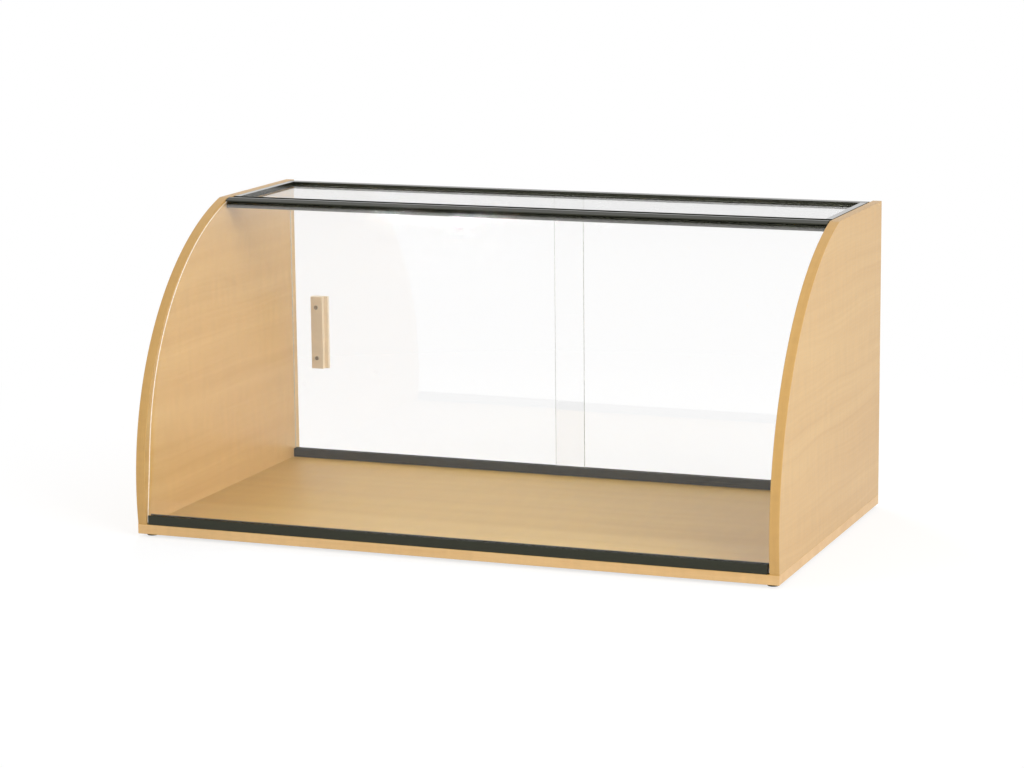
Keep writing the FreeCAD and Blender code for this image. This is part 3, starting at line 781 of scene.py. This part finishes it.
offset = add_node(pane_tree, "ShaderNodeCombineXYZ", {1: path_axis("SINE", "COSINE", -1),
                                                      2: path_axis("COSINE", "SINE", 1)})
spot = add_node(pane_tree, "ShaderNodeVectorMath", (given["Foot"], offset), operation="ADD")
print("the pane's path has", PATH_POINTS, "points and takes", len(pane_tree.nodes), "nodes")

# %% Sweep the pane's section along it
line = add_node(pane_tree, "GeometryNodeCurvePrimitiveLine")
points = add_node(pane_tree, "GeometryNodeResampleCurve", {"Curve": line, "Count": PATH_POINTS})
path = add_node(pane_tree, "GeometryNodeSetPosition", {"Geometry": points, "Position": spot})
section = add_node(pane_tree, "GeometryNodeCurvePrimitiveQuadrilateral",
                   {"Width": given["Width"], "Height": given["Thickness"]})
section = add_node(pane_tree, "GeometryNodeFilletCurve",
                   {"Curve": section, "Count": CORNER_STEPS, "Radius": given["Corner"],
                    "Limit Radius": True}, mode="POLY")
sheet = add_node(pane_tree, "GeometryNodeCurveToMesh",
                 {"Curve": path, "Profile Curve": section, "Fill Caps": True})
normal = add_node(pane_tree, "GeometryNodeInputNormal")
sideways = add_node(pane_tree, "ShaderNodeSeparateXYZ", (normal,))
sideways = add_node(pane_tree, "ShaderNodeMath", (sideways,), operation="ABSOLUTE")
is_edge = add_node(pane_tree, "ShaderNodeMath", (sideways, SIDEWAYS), operation="GREATER_THAN")
real = add_node(pane_tree, "GeometryNodeRealizeInstances", (sheet,))
faced = add_node(pane_tree, "GeometryNodeSetMaterial",
                 {"Geometry": real, "Material": given["Face"]})
edged = add_node(pane_tree, "GeometryNodeSetMaterial",
                 {"Geometry": faced, "Selection": is_edge, "Material": given["Edge"]})
add_node(pane_tree, "NodeGroupOutput", (edged,))
print("the pane's tree has", len(pane_tree.nodes), "nodes")

# %% [markdown]
# The pane's foot, its lean and its flat stretch are known, and so is where its top edge ends.
# The arc that joins them is not. Its chord points halfway between the headings at its two ends,
# which gives the last heading, and that shifts the end of the mid-plane a hair, so the sum is
# done a few times over.

# %% Curved front pane
PANE_LEAN = math.radians(7)
PANE_FLAT = mm(112)
SHEET = mm(3)
SHEET_CORNER = mm(0.35)
SETTLING_PASSES = 4
PANE_CORNER = 15

low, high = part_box("curved_front_pane")
foot = Vector((0, low.y + SHEET / 2 * math.cos(PANE_LEAN),
               low.z + SHEET / 2 * math.sin(PANE_LEAN)))
bend = foot + PANE_FLAT * Vector((0, math.sin(PANE_LEAN), math.cos(PANE_LEAN)))
end = high
for _ in range(SETTLING_PASSES):
    chord = Vector((0, end.y - bend.y, end.z - bend.z))
    last_heading = 2 * math.atan2(chord.y, chord.z) - PANE_LEAN
    end = Vector((0, high.y - SHEET / 2 * math.cos(last_heading),
                  high.z - SHEET / 2 * math.sin(last_heading)))
sweep = last_heading - PANE_LEAN
radius = chord.length / (2 * math.sin(sweep / 2))
print(f"the pane turns {math.degrees(sweep):.1f} degrees at a radius of {radius * 1000:.0f} mm")

pane = grow("front_pane", pane_tree, pane_inputs, {
    "Width": high.x - low.x, "Thickness": SHEET, "Corner": SHEET_CORNER, "Foot": foot,
    "Lean": PANE_LEAN, "Flat": PANE_FLAT, "Radius": radius, "Sweep": sweep,
    "Face": sheet_face, "Edge": bent_sheet_edge})
freeze(pane)
pane.data.set_sharp_from_angle(angle=math.radians(PANE_CORNER))
hand_over(pane, "case", "clear_acrylic", "curved_front_pane")

# %% [markdown]
# ## Flat sheets
# The top and the doors are flat. Each starts as a block, loses its holes to a Boolean, and gets
# a fine bevel, since an edge straight from the saw would cut a finger. Faces that don't look
# along the sheet's thickness are edges, and that includes the wall of the finger hole.

# %% Bars to cut with
HOLE_SIDES = 48


def round_bar(centre, radius, half_length, second_radius=None):
    """A bar along Y, or a cone if it has a second radius, as an object to cut with."""
    form = bmesh.new()
    bmesh.ops.create_cone(form, cap_ends=True, segments=HOLE_SIDES, radius1=radius,
                          radius2=radius if second_radius is None else second_radius,
                          depth=2 * half_length)
    bmesh.ops.transform(form, verts=form.verts,
                        matrix=Matrix.Translation(centre) @ Matrix.Rotation(-math.pi / 2, 4, "X"))
    return new_object("cutter", store(form, "cutter"))


# %% Flat sheets
BEVEL_STEPS = 2
BEVEL_CORNER = math.radians(40)
FACE_ON = 0.9


def flat_sheet(name, node, body, thin_axis, cutters=()):
    low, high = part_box(node)
    size, middle = high - low, (low + high) / 2
    form = block(lambda corner: middle + Vector(a * b for a, b in zip(corner, size)))
    sheet = new_object(name, store(form, name))
    sheet.data.materials.append(sheet_face)
    sheet.data.materials.append(sheet_edge)
    for cutter in cutters:
        cut = sheet.modifiers.new("hole", "BOOLEAN")
        cut.object, cut.operation, cut.solver = cutter, "DIFFERENCE", "EXACT"
    bevel = sheet.modifiers.new("eased_edges", "BEVEL")
    bevel.width, bevel.segments, bevel.limit_method = SHEET_CORNER, BEVEL_STEPS, "ANGLE"
    bevel.angle_limit = BEVEL_CORNER
    freeze(sheet)
    for cutter in cutters:
        bpy.data.objects.remove(cutter)
    for face in sheet.data.polygons:
        face.material_index = int(abs(face.normal[thin_axis]) < FACE_ON)
    hand_over(sheet, body, "clear_acrylic", node)


# %% The right door's finger hole
FINGER_HOLE = mm(26)
FINGER_HOLE_INSET = mm(38)
HANDLE_HEIGHT = mm(190.5)

door_low, door_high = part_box("sliding_door_right")
floor_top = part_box("base_board")[1].z
hole_centre = Vector((door_high.x - FINGER_HOLE_INSET, (door_low.y + door_high.y) / 2,
                      floor_top + HANDLE_HEIGHT))
flat_sheet("right_door_sheet", "sliding_door_right", "right_door", 1,
           [round_bar(hole_centre, FINGER_HOLE / 2, SHEET)])

# %% The left door's screw holes, and the top
PULL_SCREW = dict(shank=mm(3), head=mm(6), head_height=mm(1.6), length=mm(12))
SCREW_PLAY = mm(0.05)

screw_low, screw_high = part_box("pull_screws")
head_radius = PULL_SCREW["head"] / 2
shank_radius = PULL_SCREW["shank"] / 2 + SCREW_PLAY
cutters = []
for height in (screw_low.z + head_radius, screw_high.z - head_radius):
    mouth = Vector(((screw_low.x + screw_high.x) / 2, screw_low.y, height))
    cone_middle = mouth + Vector((0, PULL_SCREW["head_height"] / 2, 0))
    cutters.append(round_bar(cone_middle, head_radius + SCREW_PLAY,
                             PULL_SCREW["head_height"] / 2, shank_radius))
    cutters.append(round_bar(mouth, shank_radius, 2 * SHEET))
flat_sheet("left_door_sheet", "sliding_door_left", "left_door", 1, cutters)
flat_sheet("top_sheet", "top_pane", "case", 2)

# %% [markdown]
# ## The pull
# The left door's pull is a maple strip of L section: a foot that lies on the door, and a lip to
# hook fingers behind. It is an outline drawn upwards with eased edges. Wood clamped to plastic
# never quite touches it, so a hair of air is left between them. That also keeps the light right,
# because a ray in the acrylic has to leave it before it meets the wood.

# %% Door pull
PULL_FOOT = mm(18.5)
PULL_LIP = mm(6.5)
PULL_EASING = mm(1.2)
EASING_STEPS = 3
PULL_CORNER = 40
AIR_FILM = mm(0.08)

low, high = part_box("door_pull")
low.y += AIR_FILM
outline = [(low.x, low.y), (low.x + PULL_FOOT, low.y), (low.x + PULL_FOOT, high.y - PULL_LIP),
           (high.x, high.y - PULL_LIP), (high.x, high.y), (low.x, high.y)]
form = prism(*([(x, y, z) for x, y in outline] for z in (low.z, high.z)))
eased = [edge for edge in form.edges if min(v.co.y for v in edge.verts) > high.y - PULL_LIP / 2]
bmesh.ops.bevel(form, geom=eased, offset=PULL_EASING, segments=EASING_STEPS, profile=0.5,
                affect="EDGES")
mesh = store(form, "door_pull_strip")
mesh.materials.append(pull_wood)
smooth(mesh, PULL_CORNER)
strip = new_object("door_pull_strip", mesh)
strip.modifiers.new("flat_faces", "WEIGHTED_NORMAL").keep_sharp = True
hand_over(strip, "left_door", "solid_maple", "door_pull")

# %% [markdown]
# ## Screws, pins, dowels and feet
# Thirty-odd fasteners repeat a handful of shapes, each turned on a lathe: a profile spun round
# its axis. The screws have a cross cut in the head, and ridges stand for the thread.

# %% The lathe
LATHE_SIDES = 24
LATHE_CORNER = 35


def lathe(name, profile):
    """Spins (radius, height) pairs round Z. The first and last pair lie on the axis."""
    form = bmesh.new()
    rings = []
    for radius, height in profile:
        if radius == 0:
            rings.append([form.verts.new((0, 0, height))] * LATHE_SIDES)
        else:
            rings.append([form.verts.new((radius * math.cos(a), radius * math.sin(a), height))
                          for a in (2 * math.pi * k / LATHE_SIDES for k in range(LATHE_SIDES))])
    for lower, upper in zip(rings, rings[1:]):
        for k in range(LATHE_SIDES):
            n = (k + 1) % LATHE_SIDES
            form.faces.new(dict.fromkeys((lower[k], lower[n], upper[n], upper[k])))
    bmesh.ops.recalc_face_normals(form, faces=form.faces)
    mesh = store(form, name)
    smooth(mesh, LATHE_CORNER)
    return new_object(name, mesh)


def pin(name, diameter, length, chamfer):
    r = diameter / 2
    return lathe(name, [(0, 0), (r - chamfer, 0), (r, chamfer), (r, length - chamfer),
                        (r - chamfer, length), (0, length)])


# %% A screw's profile
THREAD_PITCH = mm(1.2)
THREAD_ROOT = 0.76
RIDGE_TOP, RIDGE_END = 0.45, 0.9
PAN_HEAD = ((0.55, 0), (0.86, 0.22), (1, 0.7), (1, 1))
HEAD_RIM = mm(0.15)
NECK_SHARE = 0.15
THREAD_START = mm(0.1)
TIP_TAPER = 1.6


def thread(radius, start, stop):
    """Ridges along a shank, from start to stop."""
    pairs = []
    for k in range(max(1, int((stop - start) / THREAD_PITCH))):
        z = start + k * THREAD_PITCH
        pairs += [(radius * THREAD_ROOT, z), (radius, z + THREAD_PITCH * RIDGE_TOP),
                  (radius * THREAD_ROOT, z + THREAD_PITCH * RIDGE_END)]
    return pairs


def screw_profile(shank, head, head_height, length, countersunk):
    """From the middle of the head's face, at height 0, down to the point."""
    wide, thin = head / 2, shank / 2
    crown = [(wide * share, head_height * depth) for share, depth in PAN_HEAD]
    if countersunk:
        crown = [(wide - HEAD_RIM, 0), (wide, HEAD_RIM)]
    neck = head_height + (length - head_height) * NECK_SHARE
    ridges = thread(thin, neck + THREAD_START, length - thin * TIP_TAPER)
    return [(0, 0), *crown, (thin, head_height), (thin, neck), *ridges, (0, length)]


# %% Turn a screw and cut its cross
CROSS_ARM = 0.17
CROSS_REACH = 0.56
CROSS_DEPTH = 0.62
CROSS_TAPER = 0.45


def screw(name, countersunk=True, **size):
    """A turned screw with a tapered cross cut in its head."""
    body = lathe(name, screw_profile(countersunk=countersunk, **size))
    head, depth = size["head"], size["head_height"] * CROSS_DEPTH

    def arm_corner(corner):
        taper = 1 if corner.z < 0 else CROSS_TAPER
        return Vector((corner.x * head * CROSS_REACH * taper, corner.y * head * CROSS_ARM * taper,
                       depth if corner.z > 0 else -depth))

    arms = []
    for angle in (0, math.pi / 2):
        form = block(arm_corner)
        bmesh.ops.rotate(form, verts=form.verts, matrix=Matrix.Rotation(angle, 3, "Z"))
        arms.append(new_object("cutter", store(form, "cutter")))
        cut = body.modifiers.new("arm", "BOOLEAN")
        cut.object, cut.operation, cut.solver = arms[-1], "DIFFERENCE", "EXACT"
    freeze(body)
    for arm in arms:
        bpy.data.objects.remove(arm)
    return body


# %% [markdown]
# One node tree sets them all out. It makes a grid of points from two steps and two counts,
# turns each copy to face its direction, spins it by a random angle with a fixed seed, since
# nobody lines up the slots, and then makes the copies real.

# %% Places and directions
set_tree, given, set_inputs = tree_with_inputs("fastener_grid", {
    "Shape": "Object", "First": "Vector", "Step": "Vector", "Count": "Int",
    "Side Step": "Vector", "Side Count": "Int", "Direction": "Vector",
    "Outward": "Bool", "Seed": "Int", "Finish": "Material"})
row = add_node(set_tree, "GeometryNodeMeshLine",
               {"Count": given["Count"], "Start Location": given["First"],
                "Offset": given["Step"]})
sides = add_node(set_tree, "GeometryNodeMeshLine",
                 {"Count": given["Side Count"], "Offset": given["Side Step"]})
grid = add_node(set_tree, "GeometryNodeInstanceOnPoints", {"Points": sides, "Instance": row})
grid = add_node(set_tree, "GeometryNodeRealizeInstances", (grid,))
place = add_node(set_tree, "GeometryNodeInputPosition")
side = add_node(set_tree, "ShaderNodeSeparateXYZ", (place,))
side = add_node(set_tree, "ShaderNodeMath", (side,), operation="SIGN")
mirrored = add_node(set_tree, "ShaderNodeVectorMath", {0: given["Direction"], 3: side},
                    operation="SCALE")
facing = add_node(set_tree, "GeometryNodeSwitch",
                  {"Switch": given["Outward"], "False": given["Direction"], "True": mirrored},
                  input_type="VECTOR")
turn = add_node(set_tree, "FunctionNodeAlignRotationToVector", {"Vector": facing}, axis="Z")
print("a fastener's place and direction take", len(set_tree.nodes), "nodes")

# %% Copies, spun and made real
shape = add_node(set_tree, "GeometryNodeObjectInfo", {"Object": given["Shape"]})
copies = add_node(set_tree, "GeometryNodeInstanceOnPoints",
                  {"Points": grid, "Instance": shape.outputs["Geometry"], "Rotation": turn})
spin = add_node(set_tree, "FunctionNodeRandomValue",
                {3: 2 * math.pi, "Seed": given["Seed"]}, data_type="FLOAT").outputs[1]
spin = add_node(set_tree, "ShaderNodeCombineXYZ", {2: spin})
copies = add_node(set_tree, "GeometryNodeRotateInstances",
                  {"Instances": copies, "Rotation": spin, "Local Space": True})
real = add_node(set_tree, "GeometryNodeRealizeInstances", (copies,))
finished = add_node(set_tree, "GeometryNodeSetMaterial",
                    {"Geometry": real, "Material": given["Finish"]})
add_node(set_tree, "NodeGroupOutput", (finished,))
print("the whole set-out takes", len(set_tree.nodes), "nodes")

# %% [markdown]
# Where a set begins and ends is read from the frame: the box round its plain solids, drawn in
# by one head's radius. A set has a row along some axes and, if it has sides, a second step.
# Screws driven outward start from the middle of the case and point to each side.

# %% Set out one kind
def set_out(name, nodes, shape, radius, finish, toward, row, sides="", counts=(1, 1),
            length=0.0, seed=1, body="case", slot="zinc_plated_steel"):
    low, high = box_of(nodes)
    first, last = (low + high) / 2, (low + high) / 2
    for axis in row + sides:
        index = "XYZ".index(axis)
        first[index], last[index] = low[index] + radius, high[index] - radius
    driven = "XYZ".index(toward[1])
    outward = toward == "<X>"
    if outward:
        first.x, last.x = length - high.x, high.x - length
    else:
        first[driven] = low[driven] if toward[0] == "+" else high[driven]
    steps = []
    for axes, count in zip((row, sides), counts):
        step = Vector((0, 0, 0))
        for axis in axes:
            index = "XYZ".index(axis)
            step[index] = (last[index] - first[index]) / max(1, count - 1)
        steps.append(step)
    direction = Vector((0, 0, 0))
    direction[driven] = -1 if toward[0] == "-" else 1
    thing = grow(name, set_tree, set_inputs, {
        "Shape": shape, "First": first, "Step": steps[0], "Count": counts[0],
        "Side Step": steps[1], "Side Count": counts[1], "Direction": direction,
        "Outward": outward, "Seed": seed, "Finish": finish})
    hand_over(thing, body, slot, *nodes)
    bpy.data.objects.remove(shape)


# %% Screws
SCREWS = {
    "panel": dict(shank=mm(4), head=mm(8), head_height=mm(3.2), length=mm(42)),
    "track": dict(shank=mm(3), head=mm(6), head_height=mm(2.4), length=mm(18.5)),
    "channel": dict(shank=mm(2.5), head=mm(4.2), head_height=mm(1.5), length=mm(10)),
    "foot": dict(shank=mm(3), head=mm(6.6), head_height=mm(1.8), length=mm(11)),
    "side_rail": dict(shank=mm(2), head=mm(3.2), head_height=mm(1.2), length=mm(14)),
    "pull": PULL_SCREW,
}


def set_screws(kind, toward, row, sides="", counts=(1, 1), countersunk=True, **more):
    size = SCREWS[kind]
    shape = screw(kind, countersunk, **size)
    set_out(f"{kind}_screw_set", [f"{kind}_screws"], shape, size["head"] / 2, zinc, toward,
            row, sides, counts, length=size["length"], **more)


set_screws("panel", "+Z", "Y", "X", (3, 2), seed=3)
set_screws("track", "+Z", "X", counts=(4, 1), seed=5)
set_screws("channel", "-Z", "X", counts=(5, 1), countersunk=False, seed=8)
set_screws("foot", "+Z", "Y", "X", (2, 2), countersunk=False, seed=13)
set_screws("side_rail", "<X>", "Y", "X", (3, 2), countersunk=False, seed=21)
set_screws("pull", "+Y", "Z", counts=(2, 1), seed=34, body="left_door")

# %% Pins and dowels
PIN_DIAMETER, PIN_LENGTH, PIN_CHAMFER = mm(2.5), mm(17), mm(0.3)
DOWEL_DIAMETER, DOWEL_LENGTH, DOWEL_CHAMFER = mm(6), mm(25), mm(0.8)

set_out("rail_pin_set", ["rail_pins"], pin("pin", PIN_DIAMETER, PIN_LENGTH, PIN_CHAMFER),
        PIN_DIAMETER / 2, zinc, "<X>", "YZ", "X", (2, 2), length=PIN_LENGTH)
set_out("dowel_set", ["panel_dowels"],
        pin("dowel", DOWEL_DIAMETER, DOWEL_LENGTH, DOWEL_CHAMFER),
        DOWEL_DIAMETER / 2, dowel_wood, "+Z", "Y", "X", (4, 2), slot="beech_dowel")

# %% [markdown]
# A foot is a shallow cup of rubber. Its sole is the narrow ring round the recess for the screw's
# head, its wall flares a little upwards, and its corners are softened, as moulding leaves them.

# %% Feet
FOOT_NODES = ["foot_front_left", "foot_front_right", "foot_rear_left", "foot_rear_right"]
FOOT_RADIUS, FOOT_TIP, FOOT_HEIGHT = mm(8.5), mm(7.5), mm(4.5)
RECESS_RADIUS, RECESS_DEPTH = mm(4.2), mm(2.5)
RIM_START, RIM_MIDDLE, RIM_END = 0.72, 0.78, 0.84
soft = mm(0.5)

recess = [(0, RECESS_DEPTH), (RECESS_RADIUS - soft, RECESS_DEPTH),
          (RECESS_RADIUS, RECESS_DEPTH - soft), (RECESS_RADIUS, soft)]
sole = [(RECESS_RADIUS + soft * 0.4, soft * 0.2), (RECESS_RADIUS + soft, 0),
        (FOOT_TIP - soft, 0), (FOOT_TIP - soft * 0.3, soft * 0.3)]
wall = [(FOOT_TIP + soft * 0.1, soft), (FOOT_RADIUS - soft * 1.2, FOOT_HEIGHT * RIM_START),
        (FOOT_RADIUS - soft * 0.3, FOOT_HEIGHT * RIM_MIDDLE),
        (FOOT_RADIUS, FOOT_HEIGHT * RIM_END), (FOOT_RADIUS, FOOT_HEIGHT), (0, FOOT_HEIGHT)]
set_out("rubber_feet", FOOT_NODES, lathe("foot", recess + sole + wall), FOOT_RADIUS, foot_rubber,
        "+Z", "Y", "X", (2, 2), slot="black_rubber")

# %% [markdown]
# The last cell brings the view layer up to date.

# %% Finish
bpy.context.view_layer.update()
